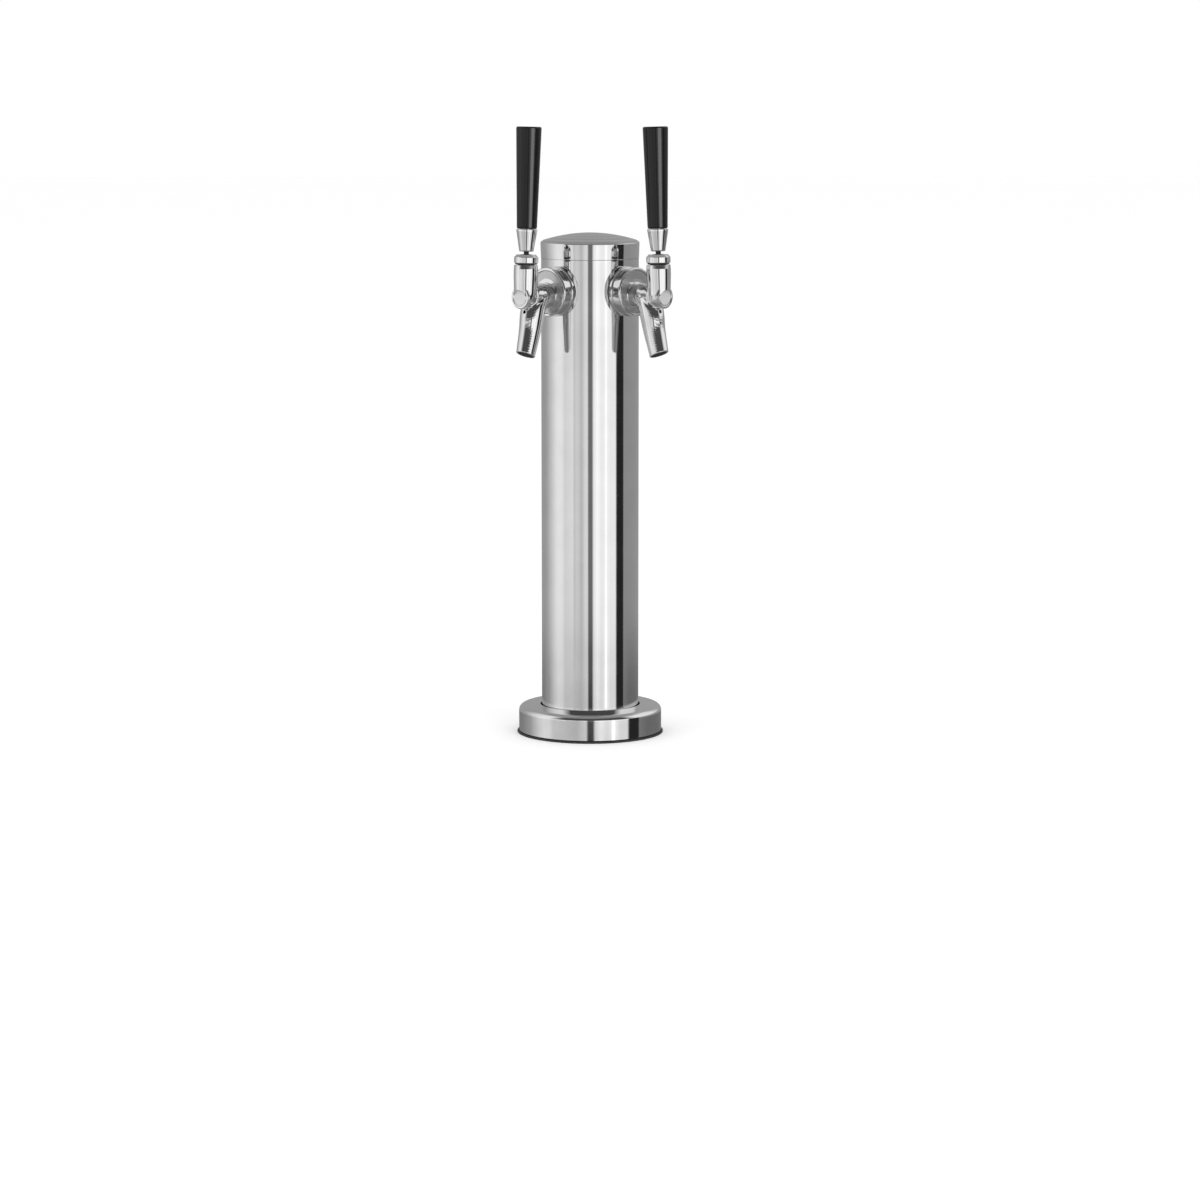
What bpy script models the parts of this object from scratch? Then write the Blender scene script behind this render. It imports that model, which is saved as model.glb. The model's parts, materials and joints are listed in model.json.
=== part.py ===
"""Beer tap tower: a polished column on a round base, with two faucets side by side.

Run with: blender --background --python part.py

Units are metres and +Z is up. The origin is on the counter, at the middle of the whole
footprint, which is 3 mm in front of the column's axis. -Y is the front, where the drinks are
poured.

Each faucet is built in its own frame, on an empty at shank height on the column's axis: its +X
points out of the column along the shank, and its +Z is up. Distances along that +X are called
"out", and are counted from the column's axis.
"""

import math

import bmesh
import bpy

MM = 0.001
GAP = 0.3 * MM  # left between pieces that touch on the real object

# Column, cap and base.
AXIS_Y = 3.0 * MM  # the column's axis, behind the origin
COLUMN_R = 38.1 * MM  # a 3 inch tube
COLUMN_WALL = 1.5 * MM
COLUMN_BORE_R = COLUMN_R - COLUMN_WALL
COLUMN_TOP = 373.6 * MM
CAP_R = 38.6 * MM
CAP_RIM = 386.6 * MM
CAP_TOP = 393.4 * MM
CAP_WALL = 1.2 * MM
CAP_SPIGOT_R = 35.2 * MM
CAP_SPIGOT_END = 367.0 * MM
GASKET_R = 57.6 * MM
GASKET_T = 1.2 * MM
FLANGE_R = 52.0 * MM
FLANGE_TOP = 7.0 * MM
FLANGE_SPIGOT_R = COLUMN_BORE_R - GAP
FLANGE_SPIGOT_TOP = 25.0 * MM
BASE_HOLE_R = 30.0 * MM
COVER_R = 56.2 * MM
COVER_TOP = 22.6 * MM
COVER_WALL = 1.2 * MM
COVER_BORE_R = COLUMN_R + 1.1 * MM
SCREW_CIRCLE_R = 45.0 * MM
SCREW_COUNT = 4
SCREW_R = 2.5 * MM
SCREW_HEAD_R = 4.4 * MM
SLEEVE_R = 36.1 * MM
SLEEVE_BORE_R = 27.0 * MM
SLEEVE_TOP = 330.0 * MM

# Where the faucets go: their height, and the way each one points, seen from above.
SHANK_Z = 349.6 * MM
SPREAD = math.radians(43.25)  # each side of straight ahead
FRONT = math.radians(-90)
SIDES = {"left": FRONT - SPREAD, "right": FRONT + SPREAD}

# Along each shank, as distances out from the column's axis.
SHANK_IN = 20.0 * MM
SHANK_OUT = 46.2 * MM
SHANK_R = 11.0 * MM
SHANK_COLLAR_R = 13.9 * MM
SHANK_COLLAR_IN = 44.4 * MM
SHANK_BORE_R = 3.2 * MM
SHANK_MOUTH_R = 8.6 * MM
SHANK_MOUTH_END = 31.0 * MM
SHANK_HOLE_R = 11.4 * MM
LOCK_NUT_IN = 27.0 * MM
LOCK_NUT_OUT = 31.8 * MM
LOCK_NUT_FLAT_R = 13.4 * MM
INNER_SADDLE_R = 14.8 * MM
OUTER_SADDLE_R = 16.0 * MM
OUTER_SADDLE_OUT = 39.0 * MM
ESCUTCHEON_R = 19.2 * MM
ESCUTCHEON_OUT = 42.3 * MM
NUT_IN = 42.6 * MM
NUT_OUT = 50.8 * MM
NUT_R = 19.0 * MM
NUT_LIP_OUT = 44.0 * MM
NUT_BORE_R = 14.4 * MM
NUT_MOUTH_R = 16.7 * MM  # the counterbore in the nut's face, which the body's flange lies in
NUT_MOUTH_IN = 49.3 * MM
SPANNER_HOLES = 4
WASHER_OUT = 47.5 * MM
BODY_IN = 47.8 * MM
BODY_FLANGE_OUT = 50.3 * MM

# Inside and around each faucet.
SHAFT_Z = -2.5 * MM  # the plunger's axis, from the shank's
SHAFT_R = 4.2 * MM
SHAFT_BORE_R = 4.5 * MM
SHAFT_IN = 45.4 * MM
SHAFT_OUT = 80.1 * MM
SEAT_R = 5.2 * MM
SEAT_OUT = 50.3 * MM
SEAT_WASHER_R = 5.8 * MM
NECK_R = 9.2 * MM
HOUSING_R = 9.3 * MM
SPOT_FACE = 78.8 * MM
NOSE_R = 7.6 * MM
PLUG_R = 9.0 * MM
PLUG_OUT = 81.2 * MM
PLUG_STEM_IN = 77.9 * MM
SPOUT_BORE_R = 4.9 * MM

# The lever turns on its ball. Heights here are from the ball's centre, along the leaning lever.
PIVOT_OUT = 74.0 * MM
PIVOT_Z = 19.0 * MM
LEVER_LEAN = math.radians(-2.0)  # towards the column when the faucet is shut
BALL_R = 6.2 * MM
BARREL_BORE_R = 6.6 * MM
BARREL_TOP = 2.9 * MM
BONNET_R = 9.3 * MM
BONNET_TOP = 10.9 * MM
LEVER_NECK_R = 2.0 * MM
LEVER_TIP_R = 2.3 * MM
LEVER_TIP_Z = -21.5 * MM
STUD_R = 3.9 * MM
STUD_TOP = 33.0 * MM
FERRULE_BOTTOM = 13.2 * MM
FERRULE_TOP = 30.2 * MM
FERRULE_BOTTOM_R = 5.9 * MM
FERRULE_TOP_R = 8.0 * MM
GRIP_BOTTOM_R = 7.7 * MM
GRIP_TOP_R = 9.75 * MM
GRIP_TOP = 107.9 * MM
SPIGOT_R = 5.0 * MM
SPIGOT_TOP = 46.0 * MM

PARTS = bpy.data.collections.new("beer_tap_tower")
HELPERS = bpy.data.collections.new("cutters")


# ---------------------------------------------------------------- tools


def clear_scene():
    for obj in list(bpy.data.objects):
        bpy.data.objects.remove(obj, do_unlink=True)
    for collection in (PARTS, HELPERS):
        bpy.context.scene.collection.children.link(collection)


def principled(name, colour, roughness, metallic):
    material = bpy.data.materials.new(name)
    material.use_nodes = True
    shader = material.node_tree.nodes["Principled BSDF"]
    shader.inputs["Base Color"].default_value = (*colour, 1.0)
    shader.inputs["Roughness"].default_value = roughness
    shader.inputs["Metallic"].default_value = metallic
    return material


def frame_at(name, location, rotation=(0.0, 0.0, 0.0), parent=None):
    """An empty that pieces are placed on."""
    empty = bpy.data.objects.new(name, None)
    PARTS.objects.link(empty)
    empty.location = location
    empty.rotation_euler = rotation
    empty.parent = parent
    return empty


def add_object(name, data, parent, material):
    """A part, or a cutter or other helper where no material is given."""
    obj = bpy.data.objects.new(name, data)
    obj.parent = parent
    if material is None:
        HELPERS.objects.link(obj)
        obj.hide_render = True
        obj.display_type = "WIRE"
    else:
        PARTS.objects.link(obj)
        data.materials.clear()
        data.materials.append(material)
    return obj


def shade(mesh):
    mesh.shade_smooth()
    mesh.set_sharp_from_angle(angle=math.radians(35))


def turned(name, profile, parent, material=None, steps=24, ring=False):
    """A solid turned about Z. The (radius, height) profile runs down its outer side.
    A ring's profile goes on up its inner side to where it began."""
    mesh = bpy.data.meshes.new(name)
    count = len(profile)
    edges = [(i, i + 1) for i in range(count - 1)]
    if ring:
        edges.append((count - 1, 0))
    mesh.from_pydata([(r, 0.0, z) for r, z in profile], edges, [])
    obj = add_object(name, mesh, parent, material)
    screw = obj.modifiers.new("turn", "SCREW")
    screw.axis = "Z"
    screw.angle = 2 * math.pi
    screw.steps = steps
    screw.render_steps = steps
    screw.use_smooth_shade = True
    screw.use_merge_vertices = True
    screw.merge_threshold = 0.00001
    return obj


def cylinder(name, radius, low, high, parent, material=None, steps=24):
    return turned(name, [(0, high), (radius, high), (radius, low), (0, low)], parent, material, steps)


def tube(name, outer, inner, low, high, parent, material=None, steps=24):
    profile = [(outer, high), (outer, low), (inner, low), (inner, high)]
    return turned(name, profile, parent, material, steps, ring=True)


def arc(centre, radius, start, end, count):
    """Points (radius, height) on an arc, its angles in degrees from straight out."""
    points = []
    for i in range(count + 1):
        angle = math.radians(start + (end - start) * i / count)
        points.append((centre[0] + radius * math.cos(angle), centre[1] + radius * math.sin(angle)))
    return points


def swept(name, points, radius, parent, material=None, sides=12, closeness=3):
    """A round bar along a smooth curve, as a mesh. Each point is ((x, y, z), thickness)."""
    data = bpy.data.curves.new(name, "CURVE")
    data.dimensions = "3D"
    data.bevel_depth = radius
    data.bevel_resolution = sides // 2 - 2
    data.resolution_u = closeness
    data.use_fill_caps = True
    spline = data.splines.new("BEZIER")
    spline.bezier_points.add(len(points) - 1)
    for knot, (place, thickness) in zip(spline.bezier_points, points):
        knot.co = place
        knot.radius = thickness
        knot.handle_left_type = "AUTO"
        knot.handle_right_type = "AUTO"
    return mesh_of_curve(name, data, parent, material)


def mesh_of_curve(name, data, parent, material):
    """A curve as a closed mesh object in the curve's place."""
    curve = bpy.data.objects.new(name + "_curve", data)
    HELPERS.objects.link(curve)
    bpy.context.view_layer.update()
    graph = bpy.context.evaluated_depsgraph_get()
    mesh = bpy.data.meshes.new_from_object(curve.evaluated_get(graph))
    mesh.name = name
    bpy.data.objects.remove(curve)
    welded = bmesh.new()
    welded.from_mesh(mesh)
    bmesh.ops.remove_doubles(welded, verts=welded.verts, dist=1e-6)
    bmesh.ops.recalc_face_normals(welded, faces=welded.faces)
    welded.to_mesh(mesh)
    welded.free()
    shade(mesh)
    return add_object(name, mesh, parent, material)


def block(name, low, high, parent, material=None):
    """A box between two corners."""
    mesh = bpy.data.meshes.new(name)
    shape = bmesh.new()
    bmesh.ops.create_cube(shape, size=1.0)
    for vertex in shape.verts:
        vertex.co = [a + (b - a) * (c + 0.5) for a, b, c in zip(low, high, vertex.co)]
    shape.to_mesh(mesh)
    shape.free()
    return add_object(name, mesh, parent, material)


def combine(obj, others, operation):
    """One exact Boolean with all of these at once."""
    name = f"{obj.name}_{operation.lower()}"
    group = bpy.data.collections.new(name)
    HELPERS.children.link(group)
    for other in others:
        group.objects.link(other)
    boolean = obj.modifiers.new(name, "BOOLEAN")
    boolean.operation = operation
    boolean.operand_type = "COLLECTION"
    boolean.collection = group
    boolean.solver = "EXACT"


def cut(obj, *cutters):
    combine(obj, cutters, "DIFFERENCE")


def join(obj, *others):
    combine(obj, others, "UNION")


# ---------------------------------------------------------------- tower


def make_column(tower, steel, hubs):
    column = tube(
        "column_tube", COLUMN_R, COLUMN_BORE_R, FLANGE_TOP + GAP, COLUMN_TOP, tower, steel, 56
    )
    for side, hub in hubs.items():
        along = frame_at(f"shank_hole_axis_{side}", (0, 0, 0), (0, math.radians(90), 0), hub)
        cut(column, cylinder(f"shank_hole_{side}", SHANK_HOLE_R, 30 * MM, 45 * MM, along))


def make_cap(tower, steel, foam, rubber):
    """A domed cap that pulls off, with a spigot and an O-ring inside the column."""
    low = COLUMN_TOP + GAP
    dome_r = 34.0 * MM
    rise = CAP_TOP - CAP_RIM - 1.0 * MM
    sphere = (dome_r**2 + rise**2) / (2 * rise)
    dome = [
        (r, CAP_TOP - sphere + math.sqrt(sphere**2 - r**2))
        for r in [dome_r * i / 3 for i in range(4)]
    ]
    edge = 2.4 * MM
    rim = arc((CAP_R - edge, CAP_RIM - edge + 0.6 * MM), edge, 72, 0, 2)
    outer = dome + rim + [(CAP_R, low), (CAP_SPIGOT_R, low), (CAP_SPIGOT_R, CAP_SPIGOT_END)]
    inner_r = CAP_SPIGOT_R - CAP_WALL
    inside = [
        (inner_r, CAP_SPIGOT_END),
        (inner_r, CAP_RIM - 2.4 * MM),
        (dome_r * 0.8, CAP_RIM - 0.2 * MM),
        (0, CAP_TOP - CAP_WALL),
    ]
    turned("cap", outer + inside, tower, steel, 40)
    cylinder(
        "cap_insulation", inner_r - GAP, 376.0 * MM, CAP_RIM - 2.8 * MM, tower, foam, 24
    )
    ring_r = 0.55 * MM
    middle = ((CAP_SPIGOT_R + COLUMN_BORE_R) / 2, 370.5 * MM)
    turned("cap_o_ring", arc(middle, ring_r, 90, -180, 3), tower, rubber, 40, ring=True)


def make_base(tower, steel, chrome, rubber, zinc):
    tube("base_gasket", GASKET_R, BASE_HOLE_R, 0, GASKET_T, tower, rubber, 40)
    under = GASKET_T + GAP
    flange = turned(
        "base_flange",
        [
            (FLANGE_R, FLANGE_TOP),
            (FLANGE_R, under),
            (BASE_HOLE_R, under),
            (BASE_HOLE_R, FLANGE_SPIGOT_TOP),
            (FLANGE_SPIGOT_R, FLANGE_SPIGOT_TOP),
            (FLANGE_SPIGOT_R, FLANGE_TOP),
        ],
        tower,
        steel,
        48,
        ring=True,
    )
    gasket = bpy.data.objects["base_gasket"]
    for i in range(SCREW_COUNT):
        turn = 2 * math.pi * (i + 0.5) / SCREW_COUNT
        place = (SCREW_CIRCLE_R * math.cos(turn), SCREW_CIRCLE_R * math.sin(turn), 0)
        spot = frame_at(f"screw_spot_{i + 1}", place, parent=tower)
        hole = cylinder(f"screw_hole_{i + 1}", SCREW_R + GAP, -5 * MM, 15 * MM, spot, steps=12)
        cut(flange, hole)
        cut(gasket, hole)
        make_screw(f"base_screw_{i + 1}", spot, zinc)
    make_cover(tower, chrome)


def make_screw(name, spot, zinc):
    """A pan-head screw with a cross recess. It is cut short where it would enter the counter."""
    head = FLANGE_TOP + GAP
    profile = [
        (0, head + 3.0 * MM),
        (SCREW_HEAD_R * 0.62, head + 2.7 * MM),
        (SCREW_HEAD_R, head + 1.4 * MM),
        (SCREW_HEAD_R, head),
        (SCREW_R, head),
        (SCREW_R, 0.4 * MM),
        (0, 0.4 * MM),
    ]
    screw = turned(name, profile, spot, zinc, 12)
    long, short, floor, top = 2.3 * MM, 0.5 * MM, head + 1.2 * MM, head + 5 * MM
    cut(
        screw,
        block(name + "_slot_a", (-long, -short, floor), (long, short, top), spot),
        block(name + "_slot_b", (-short, -long, floor), (short, long, top), spot),
    )


def make_cover(tower, chrome):
    """The loose cover over the mounting screws: a thin pressed shell that slides up the column."""
    low = GASKET_T + GAP
    edge = 5.6 * MM
    shoulder = arc((COVER_R - edge, COVER_TOP - edge - 1.0 * MM), edge, 86, 0, 4)
    outline = [(COVER_BORE_R, COVER_TOP)] + shoulder + [(COVER_R, low)]
    cover = turned("base_cover", outline, tower, chrome, 48)
    shell = cover.modifiers.new("wall", "SOLIDIFY")
    shell.thickness = COVER_WALL
    shell.offset = -1.0
    shell.use_even_offset = True


def make_sleeve(tower, foam):
    tube(
        "insulation_sleeve", SLEEVE_R, SLEEVE_BORE_R, FLANGE_SPIGOT_TOP + 0.5 * MM, SLEEVE_TOP,
        tower, foam, 32,
    )


# ---------------------------------------------------------------- shanks


def make_shank(side, axis, hub, looks):
    """The threaded tube through the column's wall, with what clamps it there."""
    turned(
        f"shank_{side}",
        [
            (SHANK_COLLAR_R, SHANK_OUT),
            (SHANK_COLLAR_R, SHANK_COLLAR_IN),
            (SHANK_R, SHANK_COLLAR_IN),
            (SHANK_R, SHANK_IN + 0.8 * MM),
            (SHANK_R - 0.8 * MM, SHANK_IN),
            (SHANK_BORE_R, SHANK_IN),
            (SHANK_BORE_R, SHANK_MOUTH_END),
            (SHANK_MOUTH_R, SHANK_MOUTH_END + 3 * MM),
            (SHANK_MOUTH_R, SHANK_OUT),
        ],
        axis,
        looks["steel"],
        24,
        ring=True,
    )
    around = SHANK_R + GAP
    wall = cylinder(f"column_outside_{side}", COLUMN_R + GAP, -60 * MM, 60 * MM, hub, steps=96)
    saddle = tube(
        f"outer_saddle_{side}", OUTER_SADDLE_R, around, 30 * MM, OUTER_SADDLE_OUT, axis,
        looks["rubber"], 24,
    )
    cut(saddle, wall)
    edge = 1.0 * MM
    low = OUTER_SADDLE_OUT + GAP
    turned(
        f"shank_escutcheon_{side}",
        [
            (ESCUTCHEON_R - edge, ESCUTCHEON_OUT),
            (ESCUTCHEON_R, ESCUTCHEON_OUT - edge),
            (ESCUTCHEON_R, low + 0.5 * MM),
            (ESCUTCHEON_R - 0.5 * MM, low),
            (around, low),
            (around, ESCUTCHEON_OUT),
        ],
        axis,
        looks["chrome"],
        32,
        ring=True,
    )
    room = cylinder(f"column_inside_{side}", COLUMN_BORE_R - GAP, -60 * MM, 60 * MM, hub, steps=96)
    inner = tube(
        f"inner_saddle_{side}", INNER_SADDLE_R, around, LOCK_NUT_OUT + GAP, 45 * MM, axis,
        looks["rubber"], 24,
    )
    combine(inner, [room], "INTERSECT")
    nut = cylinder(
        f"lock_nut_{side}", LOCK_NUT_FLAT_R / math.cos(math.pi / 6), LOCK_NUT_IN, LOCK_NUT_OUT,
        axis, looks["steel"], 6,
    )
    cut(nut, cylinder(f"lock_nut_bore_{side}", around, 20 * MM, 40 * MM, axis))
    make_product_tube(side, hub, looks["steel"])


def make_product_tube(side, hub, steel):
    """The rigid beer tube: out of the shank's inner end, down the column, to a barbed tail."""
    radius, bore = 3.2 * MM, 2.2 * MM
    start = SHANK_IN - GAP
    down = 12.0 * MM
    bend = 6.5 * MM
    low = 5.0 * MM - SHANK_Z
    route = [((start, 0, 0), 1.0), ((down + bend, 0, 0), 1.0)]
    for i in range(1, 6):
        angle = math.radians(90 * i / 5)
        place = (down + bend - bend * math.sin(angle), 0, -bend + bend * math.cos(angle))
        route.append((place, 1.0))
    route.append(((down, 0, low + 20 * MM), 1.0))
    for i in range(3):
        top = low + (18 - 5.5 * i) * MM
        route += [((down, 0, top), 1.0), ((down, 0, top - 1.0 * MM), 1.2)]
        route.append(((down, 0, top - 4.5 * MM), 1.0))
    route.append(((down, 0, low), 0.9))
    pipe = wire(f"product_tube_{side}", route, radius, hub, steel)
    inside = [((start + 2 * MM, 0, 0), 1.0)]
    inside += [(place, 1.0) for place, _ in route[1:7]]
    inside.append(((down, 0, low - 3 * MM), 1.0))
    cut(pipe, wire(f"product_tube_bore_{side}", inside, bore, hub))


def wire(name, points, radius, parent, material=None):
    """A round bar along straight runs between points, each ((x, y, z), thickness)."""
    data = bpy.data.curves.new(name, "CURVE")
    data.dimensions = "3D"
    data.bevel_depth = radius
    data.bevel_resolution = 2
    data.use_fill_caps = True
    spline = data.splines.new("POLY")
    spline.points.add(len(points) - 1)
    for knot, (place, thickness) in zip(spline.points, points):
        knot.co = (*place, 1.0)
        knot.radius = thickness
    return mesh_of_curve(name, data, parent, material)


def make_coupling(side, axis, looks):
    """The round nut that draws the faucet on to the shank, and the washer between them."""
    edge = 1.1 * MM
    nut = turned(
        f"coupling_nut_{side}",
        [
            (NUT_R - edge, NUT_OUT),
            (NUT_R, NUT_OUT - edge),
            (NUT_R, NUT_IN + edge),
            (NUT_R - edge, NUT_IN),
            (SHANK_R + 0.4 * MM, NUT_IN),
            (SHANK_R + 0.4 * MM, NUT_LIP_OUT),
            (NUT_BORE_R, NUT_LIP_OUT),
            (NUT_BORE_R, NUT_MOUTH_IN),
            (NUT_MOUTH_R, NUT_MOUTH_IN),
            (NUT_MOUTH_R, NUT_OUT),
        ],
        axis,
        looks["chrome"],
        32,
        ring=True,
    )
    middle = (NUT_IN + NUT_OUT) / 2
    for i in range(SPANNER_HOLES):
        turn = 2 * math.pi * i / SPANNER_HOLES
        across = frame_at(
            f"spanner_axis_{side}_{i + 1}", (0, 0, middle), (math.radians(90), 0, turn), axis
        )
        cut(nut, cylinder(f"spanner_hole_{side}_{i + 1}", 1.6 * MM, 17.2 * MM, 25 * MM, across, steps=8))
    tube(
        f"coupling_washer_{side}", 12.6 * MM, SHANK_MOUTH_R, SHANK_OUT + GAP, WASHER_OUT, axis,
        looks["rubber"], 24,
    )


# ---------------------------------------------------------------- faucet


def spout_line():
    """The centreline of the neck and spout as (out, height, radius): level out of the nut,
    down through a bend below the barrel, and a little forward to the tip."""
    return [
        (49.6 * MM, SHAFT_Z, 9.2 * MM),
        (57.0 * MM, SHAFT_Z, 9.2 * MM),
        (64.2 * MM, -8.0 * MM, 9.5 * MM),
        (67.4 * MM, -17.5 * MM, 9.3 * MM),
        (69.7 * MM, -28.5 * MM, 8.5 * MM),
        (74.8 * MM, -46.9 * MM, 7.4 * MM),
    ]


def make_faucet_body(side, hub, axis, shaft_axis, lever_axis, chrome):
    body = swept(
        f"faucet_body_{side}",
        [((out, 0, z), r / NECK_R) for out, z, r in spout_line()],
        NECK_R, hub, chrome,
    )
    barrel = turned(
        f"barrel_{side}",
        [
            (0, BARREL_TOP),
            (8.7 * MM, BARREL_TOP),
            (9.3 * MM, BARREL_TOP - 0.8 * MM),
            (9.4 * MM, -4 * MM),
            (9.1 * MM, -12 * MM),
            (8.8 * MM, -20 * MM),
            (6.4 * MM, -26 * MM),
            (0, -28 * MM),
        ],
        lever_axis,
    )
    nose = cylinder(f"nose_{side}", NOSE_R, 62 * MM, SPOT_FACE + 1 * MM, shaft_axis, steps=28)
    housing = cylinder(f"housing_{side}", HOUSING_R, 49 * MM, 70 * MM, shaft_axis, steps=28)
    collar = turned(
        f"thread_collar_{side}",
        [
            (0, BODY_FLANGE_OUT),
            (NUT_MOUTH_R - GAP, BODY_FLANGE_OUT),
            (NUT_MOUTH_R - GAP, NUT_MOUTH_IN + GAP),
            (NUT_BORE_R - GAP, NUT_MOUTH_IN + GAP),
            (NUT_BORE_R - GAP, BODY_IN),
            (0, BODY_IN),
        ],
        axis,
    )
    join(body, barrel, nose, housing, collar)

    spot_face = cylinder(f"spot_face_{side}", PLUG_R + 0.5 * MM, SPOT_FACE, 95 * MM, shaft_axis)
    shaft_bore = turned(
        f"shaft_bore_{side}",
        [
            (0, 90 * MM),
            (5.5 * MM, 90 * MM),
            (5.5 * MM, PLUG_STEM_IN - GAP),
            (SHAFT_BORE_R, PLUG_STEM_IN - GAP),
            (SHAFT_BORE_R, 62 * MM),
            (SEAT_R, 60 * MM),
            (SEAT_R, SEAT_OUT),
            (7.0 * MM, SEAT_OUT),
            (7.0 * MM, 40 * MM),
            (0, 40 * MM),
        ],
        shaft_axis,
    )
    ball_room = turned(
        f"ball_room_{side}",
        [(0, 12 * MM), (BARREL_BORE_R, 12 * MM), (BARREL_BORE_R, -6.2 * MM),
         (5.6 * MM, -6.2 * MM), (5.6 * MM, -10 * MM), (0, -10 * MM)],
        lever_axis,
    )
    half = 2.9 * MM
    front = 77.9 * MM
    tip_room = block(
        f"tip_room_{side}", (62.8 * MM, -half, SHAFT_Z), (front, half, 4.5 * MM), hub
    )
    stem_room = block(
        f"stem_room_{side}", (66.8 * MM, -half, 4.0 * MM), (front - 0.1 * MM, half, 11.6 * MM), hub
    )
    channel = [((57.5 * MM, 0, SHAFT_Z), 1.0), ((62.5 * MM, 0, -6 * MM), 1.0)]
    channel += [((out, 0, z), 1.0) for out, z, _ in spout_line()[3:]]
    channel.append(((77.2 * MM, 0, -55 * MM), 1.0))
    spout_bore = swept(f"spout_bore_{side}", channel, SPOUT_BORE_R, hub)
    vent_axis = frame_at(
        f"vent_axis_{side}", (0, 0, -13.8 * MM), (0, math.radians(90), 0), hub
    )
    vent = cylinder(f"vent_{side}", 1.3 * MM, 66 * MM, 90 * MM, vent_axis, steps=8)
    cut(body, spot_face, shaft_bore, ball_room, tip_room, stem_room, spout_bore, vent)


def make_plug(side, shaft_axis, chrome):
    """The round plug in the faucet's nose. Its blind bore guides the plunger's front end."""
    low = SPOT_FACE + 0.2 * MM
    groove = 0.5 * MM
    turned(
        f"nose_plug_{side}",
        [
            (0, PLUG_OUT - 0.1 * MM),
            (6.2 * MM, PLUG_OUT - 0.1 * MM),
            (6.4 * MM, PLUG_OUT - groove),
            (7.0 * MM, PLUG_OUT - groove),
            (7.2 * MM, PLUG_OUT),
            (8.2 * MM, PLUG_OUT),
            (PLUG_R, PLUG_OUT - 0.8 * MM),
            (PLUG_R, low),
            (5.2 * MM, low),
            (5.2 * MM, PLUG_STEM_IN),
            (SHAFT_BORE_R, PLUG_STEM_IN),
            (SHAFT_BORE_R, SHAFT_OUT + 0.3 * MM),
            (0, SHAFT_OUT + 0.3 * MM),
        ],
        shaft_axis,
        chrome,
        24,
    )


def make_plunger(side, shaft_axis, looks):
    """The shaft that the lever slides, with its seat washer and the nut that holds that."""
    stud_r = 1.9 * MM
    shaft = turned(
        f"plunger_shaft_{side}",
        [
            (0, SHAFT_OUT),
            (SHAFT_R - 0.5 * MM, SHAFT_OUT),
            (SHAFT_R, SHAFT_OUT - 0.5 * MM),
            (SHAFT_R, 55 * MM),
            (2.4 * MM, 54 * MM),
            (2.4 * MM, SEAT_OUT + 0.1 * MM),
            (stud_r, SEAT_OUT + 0.1 * MM),
            (stud_r, SHAFT_IN),
            (0, SHAFT_IN),
        ],
        shaft_axis,
        looks["steel"],
        24,
    )
    tip = PIVOT_OUT - LEVER_TIP_Z * math.sin(-LEVER_LEAN)
    reach = 3.1 * MM
    wide = 2.6 * MM
    slot = block(
        f"lever_slot_{side}", (-5 * MM, -wide, tip - reach), (5 * MM, wide, tip + reach), shaft_axis
    )
    cut(shaft, slot)
    tube(
        f"seat_washer_{side}", SEAT_WASHER_R, stud_r + 0.1 * MM, 48.2 * MM, SEAT_OUT - 0.3 * MM,
        shaft_axis, looks["rubber"], 24,
    )
    nut = cylinder(
        f"plunger_nut_{side}", 3.9 * MM, SHAFT_IN + 0.5 * MM, 47.9 * MM, shaft_axis,
        looks["brass"], 6,
    )
    cut(nut, cylinder(f"plunger_nut_bore_{side}", stud_r + 0.1 * MM, 40 * MM, 52 * MM, shaft_axis, steps=24))


def make_bonnet(side, lever_axis, looks):
    """The collar on the barrel, and the two rings that the lever's ball is held between."""
    low = BARREL_TOP + 0.5 * MM
    turned(
        f"bonnet_{side}",
        [
            (7.1 * MM, BONNET_TOP),
            (BONNET_R, BONNET_TOP - 2.1 * MM),
            (BONNET_R, low + 0.4 * MM),
            (BONNET_R - 0.4 * MM, low),
            (BARREL_BORE_R, low),
            (BARREL_BORE_R, low + 0.7 * MM),
            (5.4 * MM, low + 0.7 * MM),
            (5.4 * MM, low + 2.8 * MM),
            (6.8 * MM, BONNET_TOP),
        ],
        lever_axis,
        looks["chrome"],
        28,
        ring=True,
    )
    tube(f"friction_ring_{side}", 6.3 * MM, 5.8 * MM, 2.9 * MM, 3.8 * MM, lever_axis, looks["rubber"], 24)
    tube(f"ball_seat_{side}", 6.3 * MM, 5.0 * MM, -5.9 * MM, -4.2 * MM, lever_axis, looks["nylon"], 24)


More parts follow.
